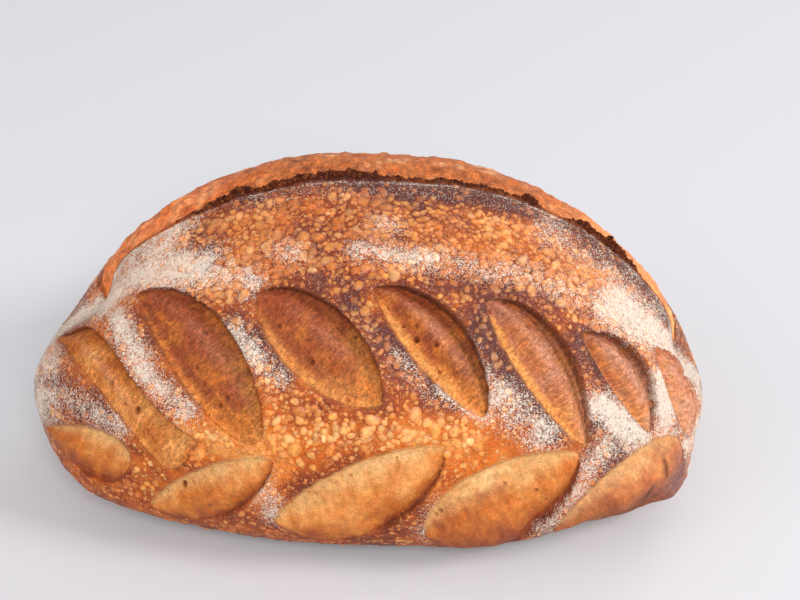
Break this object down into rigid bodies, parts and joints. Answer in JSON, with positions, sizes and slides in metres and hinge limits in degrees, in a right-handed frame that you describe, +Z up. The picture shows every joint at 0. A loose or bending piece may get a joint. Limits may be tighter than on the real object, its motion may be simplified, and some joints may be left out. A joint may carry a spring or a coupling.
{
  "type": "sourdough loaf",
  "caption": "Oval batard of sourdough bread with a long slash and lifted ear along the top, leaf-shaped cuts on the front flank and a flat base.",
  "frame": {"origin": "centre of the flat base, under the middle of the loaf", "axes": "+X along the loaf, +Y towards the uncut back flank, +Z up"},
  "size_m": [0.2642, 0.1794, 0.1195],
  "materials": {
    "crust": "baked crust, matte to satin, blistered and dusted with flour"
  },
  "bodies": {
    "root": {"loaf": "crust"}
  },
  "joints": []
}
